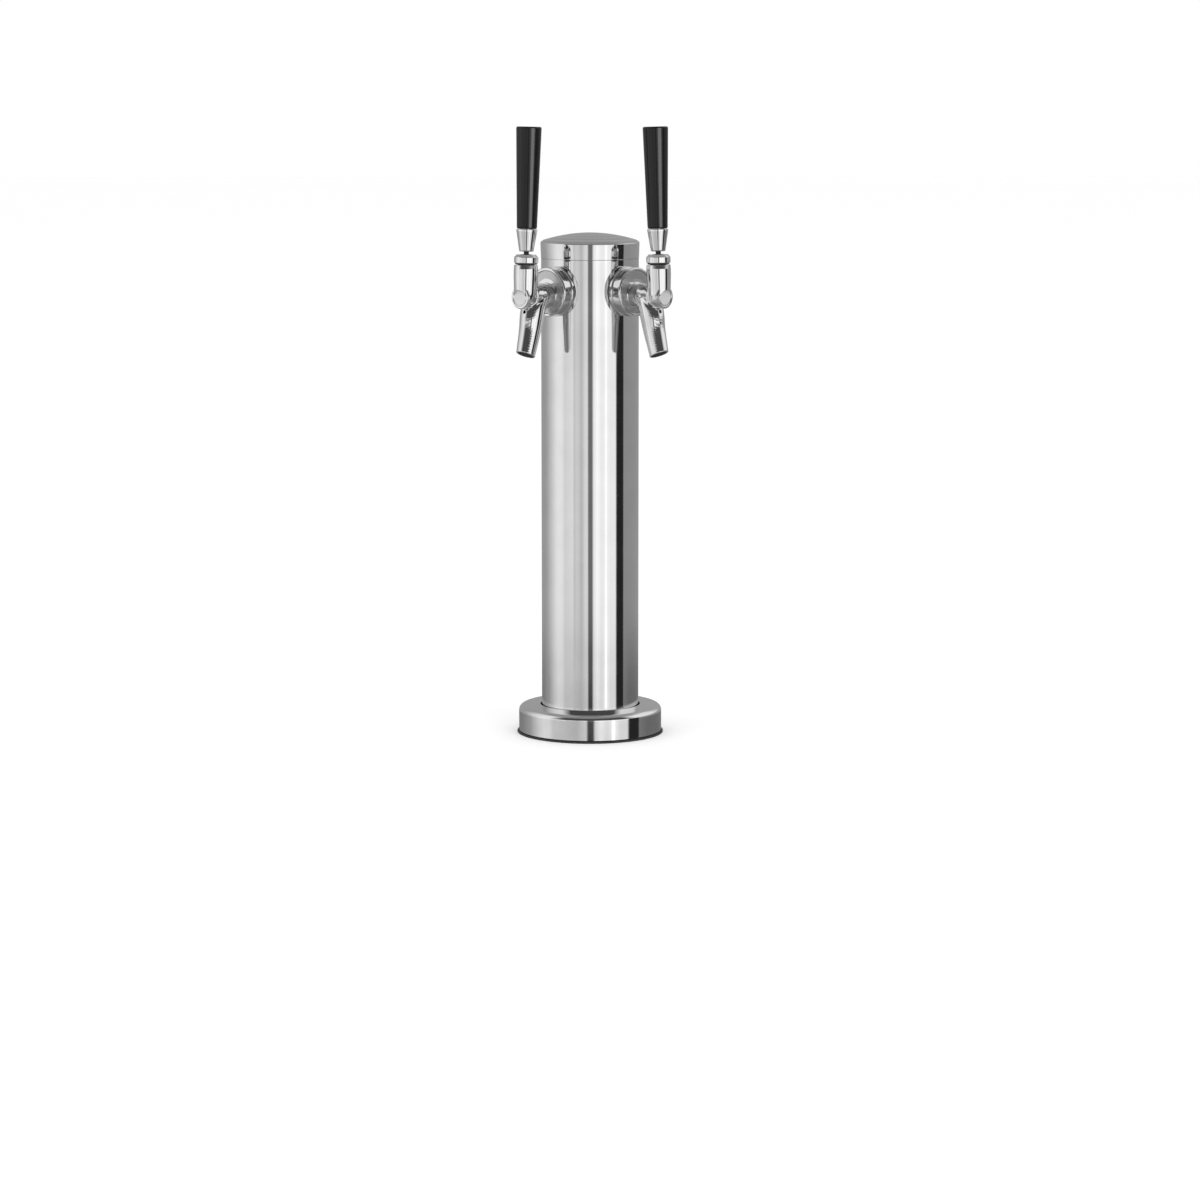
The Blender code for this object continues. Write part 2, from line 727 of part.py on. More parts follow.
def make_lever(side, lever_axis, looks):
    """The lever with its ball, and the handle screwed on to it."""
    rod_r = 1.8 * MM
    ball_low = -math.degrees(math.acos(rod_r / BALL_R))
    ball_high = math.degrees(math.acos(LEVER_NECK_R / BALL_R))
    tip_high = math.degrees(math.acos(rod_r / LEVER_TIP_R))
    turned(
        f"lever_{side}",
        [(0, STUD_TOP), (STUD_R - 0.6 * MM, STUD_TOP), (STUD_R, STUD_TOP - 0.6 * MM)]
        + [(STUD_R, FERRULE_BOTTOM + 0.8 * MM), (LEVER_NECK_R, FERRULE_BOTTOM + 0.3 * MM)]
        + arc((0, 0), BALL_R, ball_high, ball_low, 7)
        + arc((0, LEVER_TIP_Z), LEVER_TIP_R, tip_high, -90, 4),
        lever_axis,
        looks["steel"],
        16,
    )
    turned(
        f"handle_ferrule_{side}",
        [
            (SPIGOT_R, SPIGOT_TOP),
            (SPIGOT_R, FERRULE_TOP),
            (FERRULE_TOP_R - 0.4 * MM, FERRULE_TOP),
            (FERRULE_TOP_R, FERRULE_TOP - 0.5 * MM),
            (FERRULE_BOTTOM_R, FERRULE_BOTTOM + 1.3 * MM),
            (4.7 * MM, FERRULE_BOTTOM),
            (STUD_R + GAP, FERRULE_BOTTOM),
            (STUD_R + GAP, SPIGOT_TOP),
        ],
        lever_axis,
        looks["chrome"],
        24,
        ring=True,
    )
    low = FERRULE_TOP + GAP
    turned(
        f"handle_grip_{side}",
        [
            (0, GRIP_TOP),
            (GRIP_TOP_R - 0.9 * MM, GRIP_TOP),
            (GRIP_TOP_R, GRIP_TOP - 0.9 * MM),
            (GRIP_BOTTOM_R, low + 1.2 * MM),
            (GRIP_BOTTOM_R - 1.2 * MM, low),
            (SPIGOT_R + GAP, low),
            (SPIGOT_R + GAP, SPIGOT_TOP + GAP),
            (0, SPIGOT_TOP + 2.5 * MM),
        ],
        lever_axis,
        looks["black"],
        24,
    )


def make_side(side, hub, looks):
    """Everything on one shank, from the lock nut inside the column to the handle."""
    level = (0, math.radians(90), 0)
    axis = frame_at(f"shank_axis_{side}", (0, 0, 0), level, hub)
    shaft_axis = frame_at(f"plunger_axis_{side}", (0, 0, SHAFT_Z), level, hub)
    lever_axis = frame_at(f"lever_pivot_{side}", (PIVOT_OUT, 0, PIVOT_Z), (0, LEVER_LEAN, 0), hub)
    make_shank(side, axis, hub, looks)
    make_coupling(side, axis, looks)
    make_faucet_body(side, hub, axis, shaft_axis, lever_axis, looks["chrome"])
    make_plug(side, shaft_axis, looks["chrome"])
    make_plunger(side, shaft_axis, looks)
    make_bonnet(side, lever_axis, looks)
    make_lever(side, lever_axis, looks)


def main():
    clear_scene()
    looks = {
        "steel": principled("polished_steel", (0.62, 0.62, 0.62), 0.12, 1.0),
        "chrome": principled("chrome", (0.75, 0.75, 0.75), 0.06, 1.0),
        "black": principled("black_plastic", (0.02, 0.02, 0.02), 0.25, 0.0),
        "rubber": principled("rubber", (0.03, 0.03, 0.03), 0.7, 0.0),
        "foam": principled("foam", (0.55, 0.55, 0.53), 0.9, 0.0),
        "nylon": principled("nylon", (0.8, 0.8, 0.78), 0.5, 0.0),
        "brass": principled("brass", (0.7, 0.5, 0.25), 0.3, 1.0),
        "zinc": principled("zinc_screw", (0.5, 0.5, 0.5), 0.35, 1.0),
    }
    tower = frame_at("tower_axis", (0, AXIS_Y, 0))
    hubs = {
        side: frame_at(f"hub_{side}", (0, 0, SHANK_Z), (0, 0, turn), tower)
        for side, turn in SIDES.items()
    }
    make_column(tower, looks["steel"], hubs)
    make_cap(tower, looks["steel"], looks["foam"], looks["rubber"])
    make_base(tower, looks["steel"], looks["chrome"], looks["rubber"], looks["zinc"])
    make_sleeve(tower, looks["foam"])
    for side, hub in hubs.items():
        make_side(side, hub, looks)


main()
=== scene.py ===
"""Beer tap tower: the looks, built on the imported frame.

Units are metres, in the frame of the CAD model. Shapes are written in millimetres where they are
drawn, and MM turns them into metres. Each faucet is drawn in its own frame, on the column's axis
at shank height: its X points out along the shank and its Z is up.
"""

import json
import math

import bmesh
import bpy
import numpy as np
from mathutils import Matrix, Vector


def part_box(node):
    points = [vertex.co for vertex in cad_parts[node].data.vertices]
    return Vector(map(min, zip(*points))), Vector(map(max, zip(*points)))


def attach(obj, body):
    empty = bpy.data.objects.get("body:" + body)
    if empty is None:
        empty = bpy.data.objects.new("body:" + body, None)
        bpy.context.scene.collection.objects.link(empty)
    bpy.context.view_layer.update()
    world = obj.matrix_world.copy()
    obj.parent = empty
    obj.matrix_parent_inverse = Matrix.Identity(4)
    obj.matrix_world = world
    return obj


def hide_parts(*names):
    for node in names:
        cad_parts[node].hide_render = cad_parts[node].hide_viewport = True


MM = 0.001
SIDES = ("left", "right")
LEAN = math.radians(-2)  # the barrels and handles lean a little towards the column

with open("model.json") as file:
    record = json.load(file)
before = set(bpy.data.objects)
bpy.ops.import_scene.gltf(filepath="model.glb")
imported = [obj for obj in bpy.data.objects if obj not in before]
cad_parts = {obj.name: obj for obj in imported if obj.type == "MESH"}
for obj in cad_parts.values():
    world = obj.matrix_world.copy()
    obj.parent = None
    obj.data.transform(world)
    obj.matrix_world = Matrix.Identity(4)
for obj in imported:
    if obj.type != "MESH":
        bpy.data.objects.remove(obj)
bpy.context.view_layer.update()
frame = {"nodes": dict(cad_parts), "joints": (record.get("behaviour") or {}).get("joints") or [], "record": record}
nodes = frame["nodes"]


# ---------------------------------------------------------------- places taken from the CAD


def middle(node):
    low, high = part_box(node)
    return (low + high) / 2


def reach(node, origin, direction):
    """How far a CAD node goes along a direction from a point: (nearest, furthest) in mm."""
    ends = [(v.co - origin).dot(direction) / MM for v in nodes[node].data.vertices]
    return min(ends), max(ends)


def heights(node):
    """The lowest and highest point of a CAD node, in mm."""
    low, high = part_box(node)
    return low.z / MM, high.z / MM


def radius_of(node):
    """The outer radius in mm of a CAD node that is turned about the column's axis."""
    return (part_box(node)[1].x - AXIS.x) / MM


AXIS = Vector((middle("column_tube").x, middle("column_tube").y, 0.0))
COLUMN_R = radius_of("column_tube")
COLUMN_LOW, COLUMN_TOP = heights("column_tube")
SHANK_Z = middle("coupling_nut_left").z
joints = {joint["name"]: joint for joint in frame["joints"]}
TOWER = Matrix.Translation(AXIS)
HUBS, LEVERS = {}, {}  # each side's faucet frame, and the frame of its lever, handle and bonnet
for side in SIDES:
    out = -Vector(joints[f"plunger_slide_{side}"]["axis"])
    turn = math.atan2(out.y, out.x)
    HUBS[side] = Matrix.Translation(AXIS + Vector((0, 0, SHANK_Z))) @ Matrix.Rotation(turn, 4, "Z")
    pivot = Matrix.Translation(Vector(joints[f"lever_tilt_{side}"]["pos_m"]))
    LEVERS[side] = pivot @ Matrix.Rotation(turn, 4, "Z") @ Matrix.Rotation(LEAN, 4, "Y")
LEVEL = Matrix.Rotation(math.radians(90), 4, "Y")  # lays a turned piece along the shank


# ---------------------------------------------------------------- materials


def add_node(tree, kind, **settings):
    made = tree.nodes.new("ShaderNode" + kind)
    for key, value in settings.items():
        setattr(made, key, value)
    return made


def add_ramp(tree, source, stops):
    """A colour ramp through (place from 0 to 1, colour) stops."""
    made = add_node(tree, "ValToRGB")
    elements = made.color_ramp.elements
    while len(elements) < len(stops):
        elements.new(0.5)
    for element, (place, colour) in zip(elements, stops):
        element.position = place
        element.color = (*colour, 1)
    tree.links.new(source, made.inputs["Fac"])
    return made.outputs["Color"]


class Surface:
    """A material with its Principled shader and shorthand for adding nodes."""

    def __init__(self, name, colour, roughness, metallic=0.0, **sockets):
        self.material = bpy.data.materials.new(name)
        self.material.use_nodes = True
        self.tree = self.material.node_tree
        self.shader = self.tree.nodes["Principled BSDF"]
        self.shader.inputs["Metallic"].default_value = metallic
        self.shader.inputs["Base Color"].default_value = (*colour, 1)
        self.shader.inputs["Roughness"].default_value = roughness
        for socket, value in sockets.items():
            self.shader.inputs[socket.replace("_", " ")].default_value = value
        self.place = self.node("TexCoord").outputs["Object"]
        self.bumped = None

    def node(self, kind, **settings):
        return add_node(self.tree, kind, **settings)

    def link(self, source, target):
        self.tree.links.new(source, target)

    def stretched(self, scale):
        mapping = self.node("Mapping")
        mapping.inputs["Scale"].default_value = scale
        self.link(self.place, mapping.inputs["Vector"])
        return mapping.outputs["Vector"]

    def noise(self, scale, stretch=(1, 1, 1), detail=4.0, rough=0.5):
        made = self.node("TexNoise")
        made.inputs["Scale"].default_value = scale
        made.inputs["Detail"].default_value = detail
        made.inputs["Roughness"].default_value = rough
        self.link(self.stretched(stretch), made.inputs["Vector"])
        return made.outputs["Fac"]

    def cells(self, scale, feature="F1"):
        made = self.node("TexVoronoi", feature=feature)
        made.inputs["Scale"].default_value = scale
        self.link(self.place, made.inputs["Vector"])
        return made.outputs["Distance"]

    def ranged(self, source, low, high, start=0.3, end=0.7):
        made = self.node("MapRange")
        limits = {"From Min": start, "From Max": end, "To Min": low, "To Max": high}
        for socket, value in limits.items():
            made.inputs[socket].default_value = value
        self.link(source, made.inputs["Value"])
        return made.outputs["Result"]

    def colour(self, source, stops):
        self.link(add_ramp(self.tree, source, stops), self.shader.inputs["Base Color"])

    def roughness(self, source, low, high, start=0.3, end=0.7):
        self.link(self.ranged(source, low, high, start, end), self.shader.inputs["Roughness"])

    def bump(self, source, height, strength=1.0):
        """Height in metres. Each call adds to the bump before it."""
        made = self.node("Bump")
        made.inputs["Distance"].default_value = height
        made.inputs["Strength"].default_value = strength
        self.link(source, made.inputs["Height"])
        if self.bumped is not None:
            self.link(self.bumped, made.inputs["Normal"])
        self.bumped = made.outputs["Normal"]
        self.link(self.bumped, self.shader.inputs["Normal"])


def grey(value):
    return (value, value, value)


def polished_steel():
    """Mirror-polished steel tube: faint lengthwise polishing lines and cloudy handling marks."""
    made = Surface("polished_steel", grey(0.8), 0.06, metallic=1.0)
    lines = made.noise(2600, (1, 1, 0.015), detail=2)
    clouds = made.noise(38, detail=5, rough=0.6)
    made.colour(clouds, [(0.35, grey(0.77)), (0.65, grey(0.82))])
    made.roughness(clouds, 0.045, 0.085)
    made.bump(lines, 0.0000015, 0.5)
    made.bump(made.noise(22, (1, 1, 0.3), detail=1), 0.00002, 0.3)
    return made.material


def spun_steel():
    """The cap's crown, brushed as it spun: soft rings round its middle."""
    made = Surface("spun_steel", grey(0.78), 0.14, metallic=1.0)
    centred = made.node("Mapping")
    centred.inputs["Location"].default_value = -AXIS
    made.link(made.place, centred.inputs["Vector"])
    rings = made.node("TexWave", wave_type="RINGS", rings_direction="Z")
    made.link(centred.outputs["Vector"], rings.inputs["Vector"])
    pattern = {"Scale": 42, "Distortion": 0.6, "Detail": 3, "Detail Scale": 1.5}
    for socket, value in pattern.items():
        rings.inputs[socket].default_value = value
    made.colour(rings.outputs["Fac"], [(0.1, grey(0.74)), (0.9, grey(0.84))])
    made.roughness(rings.outputs["Fac"], 0.1, 0.18)
    made.bump(made.noise(2200, detail=2), 0.000002, 0.4)
    return made.material


def chrome():
    """Bright plated castings, with the slight waviness of a buffed casting under the plating."""
    made = Surface("chrome", grey(0.84), 0.05, metallic=1.0)
    clouds = made.noise(70, detail=4, rough=0.6)
    made.colour(clouds, [(0.3, grey(0.8)), (0.7, grey(0.86))])
    made.roughness(clouds, 0.035, 0.09)
    made.bump(made.noise(90, detail=2), 0.00002, 0.35)
    return made.material


def satin_chrome():
    """Plated faces left matt by the turning: the middle of each plug."""
    made = Surface("satin_chrome", grey(0.6), 0.4, metallic=0.3)
    marks = made.noise(900, detail=3)
    made.colour(marks, [(0.3, grey(0.57)), (0.7, grey(0.63))])
    made.roughness(marks, 0.34, 0.46)
    made.bump(marks, 0.00001, 0.3)
    return made.material


def cast_face():
    """The faucet's flange inside its nut, dull because the buffing wheel can't reach it."""
    made = Surface("cast_face", grey(0.55), 0.22, metallic=0.8)
    grain = made.noise(700, detail=4)
    made.colour(grain, [(0.3, grey(0.53)), (0.7, grey(0.57))])
    made.roughness(grain, 0.2, 0.25)
    made.bump(grain, 0.000005, 0.15)
    return made.material


def stained_bore():
    """The rough inside of the spout, which the plating doesn't reach, darkened by use."""
    made = Surface("stained_bore", grey(0.05), 0.5, metallic=0.3)
    stains = made.noise(400, detail=5)
    made.colour(stains, [(0.3, grey(0.03)), (0.7, grey(0.07))])
    made.roughness(stains, 0.4, 0.6)
    made.bump(stains, 0.00003, 0.4)
    return made.material


def turned_steel():
    """Machined stainless steel: fine turning marks."""
    made = Surface("turned_steel", grey(0.62), 0.25, metallic=1.0)
    marks = made.noise(1500, detail=3)
    made.colour(marks, [(0.3, grey(0.56)), (0.7, grey(0.66))])
    made.roughness(marks, 0.2, 0.36)
    made.bump(marks, 0.00001, 0.4)
    return made.material


def brass():
    made = Surface("brass", (0.72, 0.53, 0.27), 0.28, metallic=1.0)
    marks = made.noise(1300, detail=3)
    made.colour(marks, [(0.3, (0.62, 0.44, 0.2)), (0.7, (0.76, 0.57, 0.3))])
    made.roughness(marks, 0.22, 0.4)
    made.bump(marks, 0.00001, 0.4)
    return made.material


def zinc():
    """Plated screws: a cloudy crystalline plating."""
    made = Surface("zinc_screw", grey(0.55), 0.35, metallic=1.0)
    grains = made.cells(900)
    made.colour(grains, [(0.1, grey(0.46)), (0.7, grey(0.62))])
    made.roughness(grains, 0.28, 0.45, 0.1, 0.7)
    made.bump(grains, 0.00001, 0.3)
    return made.material


def black_plastic():
    """Moulded black handles: a fine satin grain, with a little polish where hands hold them."""
    made = Surface("black_plastic", grey(0.005), 0.2, IOR=1.4)
    worn = made.noise(45, (1, 1, 0.6), detail=5, rough=0.6)
    grain = made.noise(3800, detail=2)
    made.colour(worn, [(0.3, grey(0.004)), (0.75, grey(0.007))])
    made.roughness(worn, 0.13, 0.2)
    made.bump(grain, 0.00001, 0.3)
    return made.material


def rubber():
    made = Surface("rubber", grey(0.03), 0.65)
    dust = made.noise(260, detail=6, rough=0.7)
    made.colour(dust, [(0.35, grey(0.022)), (0.75, grey(0.05))])
    made.roughness(dust, 0.55, 0.8)
    made.bump(made.noise(2400, detail=3), 0.00003, 0.6)
    return made.material


def foam():
    """Closed-cell foam, with its skin of small bubbles."""
    made = Surface("foam", grey(0.5), 0.9)
    bubbles = made.cells(620)
    made.colour(bubbles, [(0.05, grey(0.34)), (0.5, grey(0.58))])
    made.roughness(bubbles, 0.85, 0.95, 0.1, 0.7)
    made.bump(bubbles, 0.0004, 0.8)
    return made.material


def nylon():
    made = Surface("nylon", grey(0.78), 0.45, Subsurface_Weight=0.15)
    flow = made.noise(300, detail=3)
    made.colour(flow, [(0.3, grey(0.72)), (0.7, grey(0.82))])
    made.roughness(flow, 0.38, 0.52)
    made.bump(flow, 0.00002, 0.4)
    return made.material


MATERIALS = {
    "polished_steel": polished_steel(),
    "spun_steel": spun_steel(),
    "chrome": chrome(),
    "satin_chrome": satin_chrome(),
    "cast_face": cast_face(),
    "stained_bore": stained_bore(),
    "turned_steel": turned_steel(),
    "brass": brass(),
    "zinc_screw": zinc(),
    "black_plastic": black_plastic(),
    "rubber": rubber(),
    "foam": foam(),
    "nylon": nylon(),
}
record_slots = {entry["node"]: entry["material_slot"] for entry in frame["record"]["subparts"]}


# ---------------------------------------------------------------- making pieces


def new_object(name, data):
    made = bpy.data.objects.new(name, data)
    bpy.context.scene.collection.objects.link(made)
    return made


def body_with(node):
    for body, members in frame["record"]["behaviour"]["bodies"].items():
        if node in members:
            return body


def add_piece(name, mesh, node, material, sharp=32):
    """A visible piece that stands for a CAD node and moves with that node's body.

    Edges that turn by more than sharp degrees stay crisp."""
    mesh.shade_smooth()
    if sharp:
        mesh.set_sharp_from_angle(angle=math.radians(sharp))
    piece = new_object(name, mesh)
    mesh.materials.clear()
    mesh.materials.append(MATERIALS[material])
    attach(piece, body_with(node))
    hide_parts(node)
    return piece


NEARLY_STRAIGHT = math.radians(88)  # half the angle of a corner that is too flat to round
ON_AXIS = 1e-6


def rounded(corners, per_corner=5):
    """A profile from (radius, height, rounding) corners, with each corner rounded by an arc."""
    points = []
    count = len(corners)
    for i, (r, z, size) in enumerate(corners):
        here = Vector((r, z))
        if size <= 0 or i in (0, count - 1):
            points.append(here)
            continue
        before = Vector(corners[i - 1][:2]) - here
        after = Vector(corners[i + 1][:2]) - here
        half = before.angle(after) / 2
        if half > NEARLY_STRAIGHT:
            points.append(here)
            continue
        back = min(size / math.tan(half), 0.49 * before.length, 0.49 * after.length)
        size = back * math.tan(half)
        before.normalize()
        after.normalize()
        centre = here + (before + after).normalized() * size / math.sin(half)
        start = here + before * back - centre
        end = here + after * back - centre
        swing = start.angle_signed(end)
        for k in range(per_corner + 1):
            spin = -swing * k / per_corner
            c, s = math.cos(spin), math.sin(spin)
            points.append(centre + Vector((c * start.x - s * start.y, s * start.x + c * start.y)))
    return [(max(p.x, 0.0), p.y) for p in points]


def turned_mesh(name, profile, place, steps=128, ring=False):
    """A solid turned about its own Z from (radius, height) points in mm, then put in place.

    The profile runs down the outer side, and a ring's goes on up the inner side to its start."""
    shape = bmesh.new()
    turns = [2 * math.pi * i / steps for i in range(steps)]
    rings = []
    for r, z in profile:
        if r < ON_AXIS:
            rings.append([shape.verts.new((0, 0, z * MM))])
        else:
            points = ((r * MM * math.cos(a), r * MM * math.sin(a), z * MM) for a in turns)
            rings.append([shape.verts.new(point) for point in points])
    pairs = list(zip(rings, rings[1:]))
    if ring:
        pairs.append((rings[-1], rings[0]))
    for upper, lower in pairs:
        for i in range(steps):
            j = (i + 1) % steps
            if len(upper) == 1 and len(lower) == 1:
                continue
            if len(upper) == 1:
                shape.faces.new((upper[0], lower[i], lower[j]))
            elif len(lower) == 1:
                shape.faces.new((upper[i], lower[0], upper[j]))
            else:
                shape.faces.new((upper[i], lower[i], lower[j], upper[j]))
    bmesh.ops.remove_doubles(shape, verts=shape.verts, dist=1e-7)
    bmesh.ops.transform(shape, matrix=place, verts=shape.verts)
    mesh = bpy.data.meshes.new(name)
    shape.to_mesh(mesh)
    shape.free()
    return mesh


def carved(mesh, cutters):
    """The mesh less the cutter meshes, with nothing left over in the scene."""
    work = [new_object("carving", mesh)] + [new_object("cutter", cutter) for cutter in cutters]
    group = bpy.data.collections.new("cutters")
    for cutter in work[1:]:
        group.objects.link(cutter)
    boolean = work[0].modifiers.new("cut", "BOOLEAN")
    boolean.operand_type = "COLLECTION"
    boolean.collection = group
    boolean.solver = "EXACT"
    graph = bpy.context.evaluated_depsgraph_get()
    result = bpy.data.meshes.new_from_object(work[0].evaluated_get(graph))
    result.name = mesh.name
    for obj in work:
        bpy.data.objects.remove(obj)
    bpy.data.collections.remove(group)
    return result


def turned(name, profile, node, material, place, steps=128, ring=False, cutters=(), sharp=32):
    """A turned piece that stands for a CAD node, with any cutters taken out of it."""
    mesh = turned_mesh(name, profile, place, steps, ring)
    if cutters:
        mesh = carved(mesh, cutters)
    piece = add_piece(name, mesh, node, material, sharp)
    even = piece.modifiers.new("flat_stretches_stay_flat", "WEIGHTED_NORMAL")
    even.mode = "FACE_AREA"
    even.keep_sharp = True
    return piece


def refinish_or_shade(piece, place, finish, low, high, inside):
    """Gives another material to the faces between two heights of a turned piece, out to a radius. It gives real
    finishes, and the lever's neck its painted shade.
    """
    back = place.inverted()
    piece.data.materials.append(MATERIALS[finish])
    for face in piece.data.polygons:
        centre = back @ face.center / MM
        if math.hypot(centre.x, centre.y) < inside and low < centre.z < high:
            face.material_index = 1


def rod(radius, low, high, place, steps=64):
    """A plain cylinder for cutting with."""
    return turned_mesh("rod", [(0, high), (radius, high), (radius, low), (0, low)], place, steps)


# ---------------------------------------------------------------- smooth cast shapes


def smooth_min(a, b, k):
    h = np.clip(0.5 + 0.5 * (b - a) / k, 0, 1)
    return b + (a - b) * h - k * h * (1 - h)


def smooth_max(a, b, k):
    return -smooth_min(-a, -b, k)


def tube_distance(p, stations):
    """Distance in mm to a round bar of varying radius through ((x, y, z), radius) stations."""
    best = np.full(len(p), 1e9)
    for (a, ra), (b, rb) in zip(stations, stations[1:]):
        a, b = np.array(a), np.array(b)
        along = b - a
        t = np.clip(((p - a) @ along) / (along @ along), 0, 1)
        gap = np.linalg.norm(p - a - t[:, None] * along, axis=1) - (ra + (rb - ra) * t)
        best = np.minimum(best, gap)
    return best


def along_and_out(p, origin, direction):
    """How far each point is along a line from its origin, and out from it."""
    d = np.array(direction) / np.linalg.norm(direction)
    rel = p - np.array(origin)
    z = rel @ d
    return z, np.linalg.norm(rel - z[:, None] * d, axis=1)


def rod_distance(p, origin, direction, radius, low, high):
    """Distance in mm to a cylinder from low to high along a line."""
    z, r = along_and_out(p, origin, direction)
    return np.maximum(r - radius, np.maximum(low - z, z - high))


def turned_distance(p, origin, direction, profile):
    """Near distance in mm to a turned shape whose radius follows (height, radius) points."""
    z, r = along_and_out(p, origin, direction)
    levels, radii = zip(*profile)
    ends = np.maximum(levels[0] - z, z - levels[-1])
    return np.maximum(r - np.interp(z, levels, radii), ends)


def curve_stations(points, count):
    """Evenly spread ((x, 0, z), radius) stations on a smooth curve through (x, z, radius)."""
    knots = np.array(points, float)
    knots = np.vstack([2 * knots[0] - knots[1], knots, 2 * knots[-1] - knots[-2]])
    stations = []
    for i in range(1, len(knots) - 2):
        for t in np.linspace(0, 1, count, endpoint=False):
            a, b, c, d = knots[i - 1 : i + 3]
            stations.append(
                0.5 * (2 * b + (c - a) * t + (2 * a - 5 * b + 4 * c - d) * t**2
                       + (3 * b - a - 3 * c + d) * t**3)
            )
    stations.append(knots[-2])
    return [((x, 0.0, z), r) for x, z, r in stations]


GRID_PARTS = 24  # the grid is measured a part at a time, to save memory
ROUNDS = 6  # times that each corner is moved closer to the surface
FINE_REACH, BROAD_REACH = 0.02, 0.06  # mm to each side, for a slope
LEAST_SLOPE = 0.05


def cast_mesh(name, distance, low, high, step):
    """The surface where distance is 0, as quads with every corner moved on to that surface.

    It comes with the surface's true normal at each corner, so that reflections run smoothly."""
    sizes = [int(math.ceil((b - a) / step)) + 1 for a, b in zip(low, high)]
    axes = [a + step * np.arange(n) for a, n in zip(low, sizes)]
    grid = np.stack(np.meshgrid(*axes, indexing="ij"), -1).reshape(-1, 3)
    parts = np.array_split(grid, GRID_PARTS)
    field = np.concatenate([distance(part) for part in parts]).reshape(sizes)
    inside = field < 0
    within = np.zeros([n - 1 for n in sizes], int)  # how many of a cell's 8 corners are inside
    for offset in np.ndindex(2, 2, 2):
        within += inside[tuple(slice(o, n - 1 + o) for o, n in zip(offset, sizes))]
    cells = (within > 0) & (within < 8)
    index = -np.ones(cells.shape, int)
    index[cells] = np.arange(cells.sum())
    points = (np.argwhere(cells) + 0.5) * step + np.array(low)

    def slope_at(places, step_out):
        return np.stack([(distance(places + e) - distance(places - e)) / (2 * step_out)
                         for e in np.eye(3) * step_out], 1)

    for _ in range(ROUNDS):
        value, slope = distance(points), slope_at(points, FINE_REACH)
        size = np.maximum((slope**2).sum(1), LEAST_SLOPE)
        move = -(value / size)[:, None] * slope
        length = np.linalg.norm(move, axis=1, keepdims=True)
        points += move * np.minimum(1, 0.5 * step / np.maximum(length, 1e-9))
    faces = []
    for axis in range(3):
        other = [a for a in range(3) if a != axis]
        lower = [slice(0, -1) if a == axis else slice(1, -1) for a in range(3)]
        upper = [slice(1, None) if a == axis else slice(1, -1) for a in range(3)]
        crossing = inside[tuple(lower)] != inside[tuple(upper)]
        places = np.argwhere(crossing)
        outward = inside[tuple(lower)][crossing]
        corners = []
        for da, db in ((0, 0), (1, 0), (1, 1), (0, 1)):
            spot = places.copy()
            spot[:, other[0]] += da
            spot[:, other[1]] += db
            corners.append(index[spot[:, 0], spot[:, 1], spot[:, 2]])
        quads = np.stack(corners, 1)
        flip = ~outward if axis != 1 else outward
        quads[flip] = quads[flip][:, ::-1]
        faces.append(quads)
    quads = np.concatenate(faces)
    mesh = bpy.data.meshes.new(name)
    mesh.from_pydata((points * MM).tolist(), [], quads.tolist())
    mesh.validate()
    slope = slope_at(points, BROAD_REACH)
    return mesh, slope / np.maximum(np.linalg.norm(slope, axis=1, keepdims=True), 1e-9)


# ---------------------------------------------------------------- tower

TUBE_WALL = 1.5
TUBE_RISE, CAP_RISE = 0.26, 0.3  # how far above the CAD tube the tube ends and the cap starts
SHANK_HOLE_R = 11.4
COVER_GAP, COVER_WALL = 1.1, 1.2
CROWN_BEND, CROWN_THICK = 0.0043, 1.9  # the crown falls by CROWN_BEND times its radius squared


def make_column():
    outer, inner, top = COLUMN_R, COLUMN_R - TUBE_WALL, COLUMN_TOP + TUBE_RISE
    profile = rounded(
        [(inner + 0.7, top, 0), (outer, top, 0.04), (outer, COLUMN_LOW, 0.3),
         (inner, COLUMN_LOW, 0.2), (inner, top, 0.2), (inner + 0.7, top, 0)], 3
    )[:-1]
    holes = [rod(SHANK_HOLE_R, 30, 45, HUBS[side] @ LEVEL) for side in SIDES]
    turned("column_tube_shown", profile, "column_tube", "polished_steel", TOWER, 256, True,
           holes, 40)


def make_cap():
    low, top = heights("cap")
    joint = COLUMN_TOP + CAP_RISE
    rim = top - 7.3
    crown = [(r, top - CROWN_BEND * r * r, 0) for r in np.linspace(0, 36.4, 15)]
    side = [(38.6, rim, 0.7), (38.2, joint + 0.3, 0.2), (38.1, joint, 0.04), (35.2, joint, 0.2)]
    inside = [(35.2, low, 0.5), (34.0, low, 0.3), (34.0, rim - 3.4, 1.2)]
    ceiling = [(r, top - CROWN_THICK - CROWN_BEND * r * r, 0) for r in (29.0, 20.0, 10.0, 0.0)]
    cap = turned("cap_shown", rounded(crown + side + inside + ceiling), "cap", "polished_steel",
                 TOWER, 192)
    refinish_or_shade(cap, TOWER, "spun_steel", rim + 0.3, top, 37.6)


def make_base():
    low, top = heights("base_cover")
    outer, inner = radius_of("base_cover"), COLUMN_R + COVER_GAP
    outside = [(inner, top - 1.1, 0), (inner, top, 0.9), (outer, top - 1.0, 4.5),
               (outer, low + 0.6, 0), (outer - 0.4, low, 0.3)]
    within = [(outer - COVER_WALL, low, 0.3), (outer - COVER_WALL, top - 1.1 - COVER_WALL, 3.3),
              (inner, top - COVER_WALL - 0.1, 0)]
    turned("base_cover_shown", rounded(outside + within, 9), "base_cover", "chrome", TOWER, 256,
           True)

    edge, thick = radius_of("base_gasket"), heights("base_gasket")[1]
    ring = rounded([(40, thick, 0), (edge, thick, 0.4), (edge, 0, 0.4), (30, 0, 0.2),
                    (30, thick, 0.2), (40, thick, 0)], 4)[:-1]
    screws = [middle(f"base_screw_{i + 1}") for i in range(4)]
    holes = [rod(2.8, -5, 10, Matrix.Translation((at.x, at.y, 0)), 24) for at in screws]
    turned("base_gasket_shown", ring, "base_gasket", "rubber", TOWER, 192, True, holes)


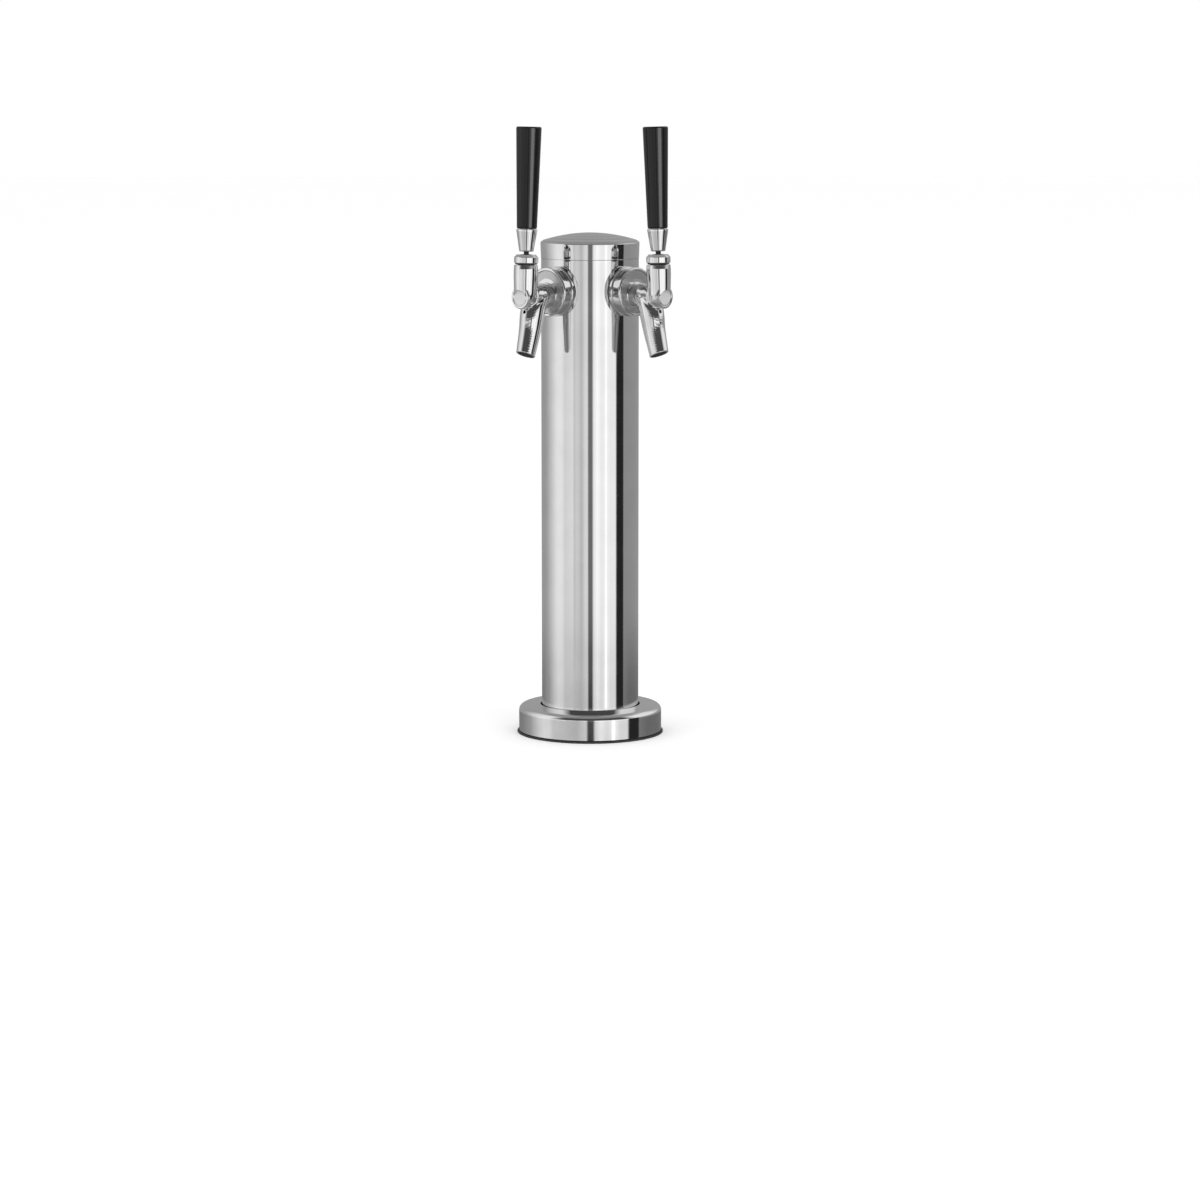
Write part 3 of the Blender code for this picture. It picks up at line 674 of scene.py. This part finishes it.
# ---------------------------------------------------------------- faucets

NOSE_Z = -2.5  # the housing, nose and plunger lie a little below the shank's axis
SPOUT = [(49.6, NOSE_Z, 9.2), (57.0, NOSE_Z, 9.2), (64.2, -8.0, 9.5), (67.4, -17.5, 9.3),
         (69.7, -28.5, 8.5), (74.8, -46.9, 7.4)]  # (x, z, radius)
SPOUT_STEPS = 10  # stations from one point of the spout to the next
UP = (math.sin(LEAN), 0, math.cos(LEAN))
PIVOT = (74.0, 0, 19.0)
BARREL = [(-27.5, 4.5), (-25.5, 6.8), (-20, 8.7), (-12, 9.1), (-4, 9.4), (0, 9.35), (2.9, 9.1)]
BORE_R, MOUTH_R, BEYOND_R = 4.9, 6.2, 6.6
MOUTH_SLANT = (0.16, 0, 0)  # the mouth is cut a little steeper than square

# Lines, each a point and a direction.
SHANK_LINE = ((0, 0, 0), (1, 0, 0))
NOSE_LINE = ((0, 0, NOSE_Z), (1, 0, 0))
VENT_LINE = ((0, 0, -13.8), (1, 0, 0))
BARREL_LINE = (PIVOT, UP)
HOLLOWS = [  # (line, radius, start, end, rounding of the edge)
    (NOSE_LINE, 4.5, 60, 90, 0.3),  # plunger
    (NOSE_LINE, 5.2, 50.3, 62, 0.3),  # its seat
    (NOSE_LINE, 7.0, 40, 50.3, 0.3),  # the way in from the shank
    (NOSE_LINE, 5.5, 77.6, 90, 0.3),  # the plug's stem
    (BARREL_LINE, 6.6, -6.2, 12, 0.4),  # the lever's ball
    (BARREL_LINE, 5.6, -10, -5, 0.3),  # the throat below it
]


def bore_distance(p):
    """The beer's way through the faucet, which widens at the mouth."""
    stations = curve_stations(SPOUT, SPOUT_STEPS)
    mouth = np.array(stations[-1][0])
    down = mouth - np.array(stations[-3][0])
    beyond = mouth + 6 * down / np.linalg.norm(down)
    return tube_distance(p, [((57.5, 0, NOSE_Z), BORE_R), ((62.5, 0, -6), BORE_R)]
                         + [(place, BORE_R) for place, _ in stations[28:-9]]  # bend to mouth
                         + [(stations[-1][0], MOUTH_R), (tuple(beyond), BEYOND_R)])


def swing_distance(p):
    """The slot in which the lever's tip swings."""
    back = np.where(p[:, 2] < 4.5, 62.8, 66.8)
    return np.maximum.reduce([back - p[:, 0], p[:, 0] - 77.9, np.abs(p[:, 1]) - 2.9,
                              NOSE_Z - p[:, 2], p[:, 2] - 11.6])


def faucet_distance(p):
    """The cast faucet: neck, spout, barrel and nose run together, and the hollows taken out."""
    stations = curve_stations(SPOUT, SPOUT_STEPS)
    body = tube_distance(p, stations)
    end = np.array(stations[-1][0])
    tangent = end - np.array(stations[-3][0])
    tangent /= np.linalg.norm(tangent)
    cut = tangent + np.array(MOUTH_SLANT)
    body = smooth_max(body, (p - end) @ (cut / np.linalg.norm(cut)), 0.5)
    barrel = turned_distance(p, *BARREL_LINE, BARREL)
    nose = rod_distance(p, *NOSE_LINE, 7.5, 62, 78.8)
    housing = rod_distance(p, *NOSE_LINE, 9.25, 46, 70)
    collar = rod_distance(p, *SHANK_LINE, 14.1, 47.8, 50.2)
    flange = rod_distance(p, *SHANK_LINE, 16.4, 49.6, 50.3)
    solid = smooth_min(smooth_min(body, housing, 1.0), barrel, 2.4)
    solid = smooth_min(solid, nose, 1.6)
    solid = smooth_max(solid, 47.8 - p[:, 0], 0.5)
    solid = smooth_min(solid, np.minimum(collar, flange), 0.9)
    solid = smooth_max(solid, -bore_distance(p), 0.8)
    for line, radius, start, stop, edge in HOLLOWS:
        solid = smooth_max(solid, -rod_distance(p, *line, radius, start, stop), edge)
    solid = smooth_max(solid, -swing_distance(p), 0.3)
    return smooth_max(solid, -rod_distance(p, *VENT_LINE, 1.25, 66, 90), 0.4)


def finishes_of(cast):
    """Each face's finish: 0 plated, 1 the flange inside the nut, 2 the bore."""
    centres = np.array([face.center for face in cast.polygons]) / MM
    in_bore = (bore_distance(centres) < 0.25) & (centres[:, 2] < -6)
    flange = (centres[:, 0] > 49.9) & (centres[:, 0] < 50.45)
    flange &= np.hypot(centres[:, 1], centres[:, 2]) > 10.4
    return np.where(in_bore, 2, np.where(flange, 1, 0)).tolist()


def make_body(side, cast, normals, finishes):
    hub = HUBS[side]
    body = cast.copy()
    body.name = f"faucet_body_{side}_shown"
    body.transform(hub)
    add_piece(body.name, body, f"faucet_body_{side}", "chrome", None)
    for finish in ("cast_face", "stained_bore"):
        body.materials.append(MATERIALS[finish])
    body.polygons.foreach_set("material_index", finishes)
    body.normals_split_custom_set_from_vertices((normals @ np.array(hub.to_3x3()).T).tolist())


def make_shank_fittings(side):
    """The coupling nut, and the escutcheon and saddle between it and the column."""
    hub = HUBS[side]
    along = hub @ LEVEL
    origin, out = hub.translation, hub.to_3x3() @ Vector((1, 0, 0))

    low, high = reach(f"coupling_nut_{side}", origin, out)
    profile = rounded(
        [(16, high, 0), (19.0, high, 1.1), (19.0, low, 0.9), (11.4, low, 0.3),
         (11.4, low + 1.4, 0.2), (14.4, low + 1.4, 0.3), (14.4, 49.3, 0.2), (16.7, 49.3, 0.2),
         (16.7, high, 0.5), (17.4, high, 0)], 6
    )
    halfway = Matrix.Translation(((low + high) / 2 * MM, 0, 0))
    spanner_holes = [
        rod(1.5, 17.2, 25, hub @ halfway @ Matrix.Rotation(math.radians(90 * i), 4, "X"), 32)
        for i in range(4)
    ]
    turned(f"coupling_nut_{side}_shown", profile[1:], f"coupling_nut_{side}", "chrome", along, 160,
           True, spanner_holes)

    low, high = reach(f"shank_escutcheon_{side}", origin, out)
    profile = rounded(
        [(15, high, 0), (19.2, high, 1.0), (19.2, low, 0.5), (11.3, low, 0.2), (11.3, high, 0.2),
         (15, high, 0)], 5
    )[:-1]
    turned(f"shank_escutcheon_{side}_shown", profile, f"shank_escutcheon_{side}", "chrome", along,
           160, True)

    profile = rounded(
        [(13, 39.0, 0), (16.0, 39.0, 0.4), (16.0, 30.0, 0), (11.3, 30.0, 0), (11.3, 39.0, 0.2),
         (13, 39.0, 0)], 3
    )[:-1]
    column = rod(COLUMN_R + 0.25, 300, 400, TOWER, 256)
    turned(f"outer_saddle_{side}_shown", profile, f"outer_saddle_{side}", "rubber", along, 96,
           True, [column])


def make_plug(side):
    """The plug that closes the nose, with a ring groove round its matt middle."""
    nose = HUBS[side] @ Matrix.Translation((0, 0, NOSE_Z * MM)) @ LEVEL
    low, high = 79.0, 81.2
    profile = rounded(
        [(0, high - 0.1, 0), (6.1, high - 0.1, 0.35), (6.4, high - 0.6, 0.15),
         (6.9, high - 0.6, 0.15), (7.2, high, 0.35), (8.3, high, 0.5), (9.0, high - 0.7, 0.5),
         (9.0, low, 0.4), (5.2, low, 0.1), (5.2, 77.9, 0.2), (4.5, 77.9, 0.1), (4.5, 80.4, 0.1),
         (0, 80.4, 0)], 5
    )
    plug = turned(f"nose_plug_{side}_shown", profile, f"nose_plug_{side}", "chrome", nose, 96)
    refinish_or_shade(plug, nose, "satin_chrome", high - 0.3, high, 5.8)


def arc(radius, height, first, last, count):
    """Corners on an arc centred on the axis at a height, between two elevations in degrees."""
    return [(radius * math.cos(a), height + radius * math.sin(a), 0)
            for a in np.radians(np.linspace(first, last, count))]


def make_lever(side):
    """The lever with its bonnet, ferrule and grip. Heights are from the middle of its ball."""
    lever = LEVERS[side]

    profile = rounded(
        [(6.95, 10.9, 0), (7.3, 10.9, 0.4), (9.3, 8.9, 0.6), (9.3, 4.5, 0.4), (8.4, 4.3, 0.2),
         (8.4, 3.4, 0.2), (6.6, 3.4, 0.1), (6.6, 4.1, 0.1), (5.4, 4.1, 0.2), (5.4, 6.2, 0.5),
         (6.8, 10.9, 0)], 5
    )
    bonnet = turned(f"bonnet_{side}_shown", profile, f"bonnet_{side}", "chrome", lever, 96, True)
    refinish_or_shade(bonnet, lever, "rubber", 3.2, 4.35, 9)

    ball, tip = arc(6.2, 0, 71, -73, 25), arc(2.3, -21.5, 38, -90, 12)
    profile = rounded(
        [(0, 33.0, 0), (3.9, 33.0, 0.5), (3.9, 14.0, 0.4), (2.0, 13.0, 0.5)] + ball + tip, 3
    )
    piece = turned(f"lever_{side}_shown", profile, f"lever_{side}", "turned_steel", lever, 64)
    # The lever's neck, seen in the gap between bonnet and ferrule, is made black: painted shade for the dark gap
    # there.
    refinish_or_shade(piece, lever, "black_plastic", 6.3, 13.6, 4.2)

    profile = rounded(
        [(4.6, 46.0, 0), (5.0, 46.0, 0.3), (5.0, 30.2, 0.1), (7.2, 30.2, 0.2), (8.05, 30.2, 0.35),
         (7.95, 28.6, 0.8), (5.65, 14.2, 0.8), (5.3, 13.2, 0.5), (4.2, 13.2, 0.2),
         (4.2, 46.0, 0)], 5
    )
    turned(f"handle_ferrule_{side}_shown", profile, f"handle_ferrule_{side}", "chrome", lever, 96,
           True)

    profile = rounded(
        [(0, 107.9, 0), (9.75, 107.9, 1.3), (9.3, 90, 0), (7.75, 31.6, 0.8), (7.3, 30.5, 0.5),
         (5.3, 30.5, 0.2), (5.3, 46.3, 0.2), (0, 48.5, 0)], 6
    )
    turned(f"handle_grip_{side}_shown", profile, f"handle_grip_{side}", "black_plastic", lever, 96)


CAST_BOX = (46.5, -17.5, -51.5), (84.5, 17.5, 23.5)
CAST_STEP = 0.45

make_column()
make_cap()
make_base()
cast, normals = cast_mesh("cast_faucet", faucet_distance, *CAST_BOX, CAST_STEP)
finishes = finishes_of(cast)
for side in SIDES:
    make_body(side, cast, normals, finishes)
    make_shank_fittings(side)
    make_plug(side)
    make_lever(side)

# The rest of the CAD nodes are shown as they are. Their steel parts are machined, not polished.
for name, node in nodes.items():
    slot = record_slots[name]
    node.data.materials.clear()
    node.data.materials.append(MATERIALS["turned_steel" if slot == "polished_steel" else slot])


# ---------------------------------------------------------------- studio

CAMERA_TURN = math.radians(1.92)  # the camera stands a little to the left
CAMERA_BACK, CAMERA_HEIGHT = 3.0, 0.545
LOOK_DOWN, LOOK_ASIDE = math.radians(8.35), -0.0026
SENSOR, LENS = 36, 115.38
HALF_FLOOR = 12.0


def make_camera():
    data = bpy.data.cameras.new("camera")
    data.sensor_width = SENSOR
    data.lens = LENS
    data.clip_start, data.clip_end = 0.1, 50
    camera = new_object("camera", data)
    ahead = Vector((math.sin(CAMERA_TURN), math.cos(CAMERA_TURN), 0))
    camera.location = AXIS - ahead * CAMERA_BACK + Vector((0, 0, CAMERA_HEIGHT))
    look = ahead * math.cos(LOOK_DOWN) + Vector((0, 0, -math.sin(LOOK_DOWN)))
    look.rotate(Matrix.Rotation(LOOK_ASIDE, 3, "Z"))
    camera.rotation_mode = "QUATERNION"
    camera.rotation_quaternion = look.to_track_quat("-Z", "Y")
    bpy.context.scene.camera = camera


def make_floor():
    mesh = bpy.data.meshes.new("floor")
    square = ((-1, -1), (1, -1), (1, 1), (-1, 1))
    corners = [(x * HALF_FLOOR, y * HALF_FLOOR, 0) for x, y in square]
    mesh.from_pydata(corners, [], [(0, 1, 2, 3)])
    floor = new_object("floor", mesh)
    made = Surface("floor", grey(0.95), 0.8)
    made.colour(made.noise(9, detail=3), [(0.3, grey(0.947)), (0.7, grey(0.953))])
    mesh.materials.append(made.material)
    floor.visible_glossy = False


# What the polished metal mirrors, as (degrees round from straight ahead of the tower, brightness).
# Positive is to the right as the tower is seen from the front.
ROOM = [
    (-180, 0.35), (-140, 0.36), (-125, 0.42), (-105, 0.67), (-90, 0.9), (-82, 0.95),
    (-72, 0.93), (-64, 0.78), (-43, 0.86), (-40.5, 0.66), (-37.5, 0.66), (-35, 0.74),
    (-27, 0.68), (-24, 0.58), (-20, 0.6), (-15, 0.8), (-8, 0.86), (-5.5, 0.18), (3, 0.17),
    (6, 0.95), (15, 1.2), (25, 1.02), (33, 1.06), (35, 1.3), (37, 1.3), (39, 1.1), (48, 1.0),
    (61, 1.02), (64, 0.02), (83, 0.02), (85, 0.3), (180, 0.35),
]
LOW_ROOM = [  # the same round the counter's edge, which the lowest part of the tower mirrors
    (-180, 0.22), (-145, 0.22), (-115, 0.36), (-95, 0.65), (-83, 0.78), (-72, 0.75), (-64, 0.6),
    (-45, 0.58), (-24, 0.5), (-12, 0.62), (-8, 0.66), (-5.5, 0.05), (3, 0.05), (6, 0.7),
    (15, 0.9), (25, 0.78), (33, 0.9), (34.5, 1.5), (37.5, 1.5), (39, 1.0), (48, 0.8), (61, 0.8),
    (64, 0.02), (83, 0.02), (85, 0.2), (105, 0.15), (135, 0.16), (180, 0.22),
]
HIGH_ROOM = [  # the same above head height, apart from the part ahead
    (-180, 0.35), (-140, 0.36), (-105, 0.75), (-82, 0.92), (-60, 0.8), (60, 0.95), (84, 0.9),
    (125, 0.85), (150, 0.4), (180, 0.35),
]
AHEAD = [(-72, 0.0), (-50.4, 1.0), (57.6, 1.0), (79.2, 0.0)]  # how far each direction is ahead
HIGH_AHEAD = 0.07
CEILING, GROUND = (0.32, 0.25), (0.34, 0.22)  # brightness to the sides and behind, then ahead
# Elevations in degrees between which one part of the room runs into the next.
GROUND_EDGE, COUNTER_EDGE = (-34, -25), (-9.6, -8.6)
HEAD_HEIGHT, CEILING_EDGE = (3.5, 8.5), (40, 54)
BRIGHTEST = 1.5  # a ramp's colours stay below 1, so this multiplies them at the end
PLAIN_LIGHT = 1.11  # what falls on surfaces that aren't mirrors


def make_world():
    world = bpy.data.worlds.new("studio")
    bpy.context.scene.world = world
    world.use_nodes = True
    tree = world.node_tree
    tree.nodes.clear()

    def maths(operation, *values):
        made = add_node(tree, "Math", operation=operation)
        for socket, value in zip(made.inputs, values):
            if isinstance(value, (int, float)):
                socket.default_value = value
            else:
                tree.links.new(value, socket)
        return made.outputs[0]

    def mixed(amount, a, b):
        made = add_node(tree, "MixRGB")
        for socket, value in zip(made.inputs, (amount, a, b)):
            if isinstance(value, (int, float)):
                socket.default_value = (*grey(value), 1)
            else:
                tree.links.new(value, socket)
        return made.outputs[0]

    def background(brightness):
        made = add_node(tree, "Background")
        made.inputs["Color"].default_value = (*grey(1.0), 1)
        made.inputs["Strength"].default_value = brightness
        return made

    direction = add_node(tree, "SeparateXYZ")
    tree.links.new(add_node(tree, "TexCoord").outputs["Generated"], direction.inputs[0])
    x, y, z = direction.outputs
    around = maths("ARCTAN2", x, maths("MULTIPLY", y, -1.0))
    around = maths("ADD", maths("DIVIDE", around, 2 * math.pi), 0.5)

    def all_round(stops, most):
        """A ramp through (degrees, value) stops, as parts of the most that a value may be."""
        places = [((degrees + 180) / 360, grey(value / most)) for degrees, value in stops]
        return add_ramp(tree, around, places)

    def above(first, last):
        """0 below the first elevation in degrees, 1 above the last."""
        ends = [(0.5 + 0.5 * math.sin(math.radians(e)), grey(v))
                for e, v in ((first, 0.0), (last, 1.0))]
        return add_ramp(tree, maths("ADD", maths("MULTIPLY", z, 0.5), 0.5), ends)

    room, low_room, high_room = (
        all_round(stops, BRIGHTEST) for stops in (ROOM, LOW_ROOM, HIGH_ROOM)
    )
    ahead = all_round(AHEAD, 1.0)
    high_room = mixed(ahead, high_room, HIGH_AHEAD / BRIGHTEST)
    ceiling = mixed(ahead, *(value / BRIGHTEST for value in CEILING))
    ground = mixed(ahead, *(value / BRIGHTEST for value in GROUND))
    mirrored = mixed(above(*COUNTER_EDGE), low_room, room)
    mirrored = mixed(above(*HEAD_HEIGHT), mirrored, high_room)
    mirrored = mixed(above(*GROUND_EDGE), ground, mirrored)
    mirrored = mixed(above(*CEILING_EDGE), mirrored, ceiling)

    paths = add_node(tree, "LightPath").outputs
    mirror_light, plain_light, seen = (
        background(strength) for strength in (BRIGHTEST, PLAIN_LIGHT, 1.0)
    )
    tree.links.new(mirrored, mirror_light.inputs["Color"])
    shader = plain_light.outputs[0]
    for test, other in (("Is Glossy Ray", mirror_light), ("Is Camera Ray", seen)):
        mix = add_node(tree, "MixShader")
        for source, socket in zip((paths[test], shader, other.outputs[0]), mix.inputs):
            tree.links.new(source, socket)
        shader = mix.outputs[0]
    tree.links.new(shader, add_node(tree, "OutputWorld").inputs["Surface"])


def make_light(name, place, aim, size, power):
    data = bpy.data.lights.new(name, "AREA")
    data.shape = "DISK"
    data.size = size
    data.energy = power
    light = new_object(name, data)
    light.location = place
    light.rotation_mode = "QUATERNION"
    light.rotation_quaternion = (Vector(aim) - Vector(place)).to_track_quat("-Z", "Y")
    light.visible_glossy = False
    light.visible_camera = False
    return light


def make_handle_light():
    """A tall lamp that draws a soft bright line down each grip, and lights nothing else."""
    away, turn, width, tall = 1.5, math.radians(35), 0.8, 1.3
    place = (away * math.sin(turn), -away * math.cos(turn), 0.36)
    light = make_light("handle_light", place, (0, 0, 0.42), width, 14)
    light.data.shape = "RECTANGLE"
    light.data.size_y = tall
    light.visible_glossy = True
    handles = bpy.data.collections.new("lit_handles")
    for side in SIDES:
        handles.objects.link(bpy.data.objects[f"handle_grip_{side}_shown"])
    light.light_linking.receiver_collection = handles


make_camera()
make_floor()
make_world()
make_light("key", (0.9, -1.3, 1.9), (0, 0, 0.25), 1.2, 7)
make_light("fill", (-1.4, -0.9, 1.2), (0, 0, 0.25), 1.4, 4)
make_handle_light()
bpy.context.scene.view_settings.view_transform = "Standard"
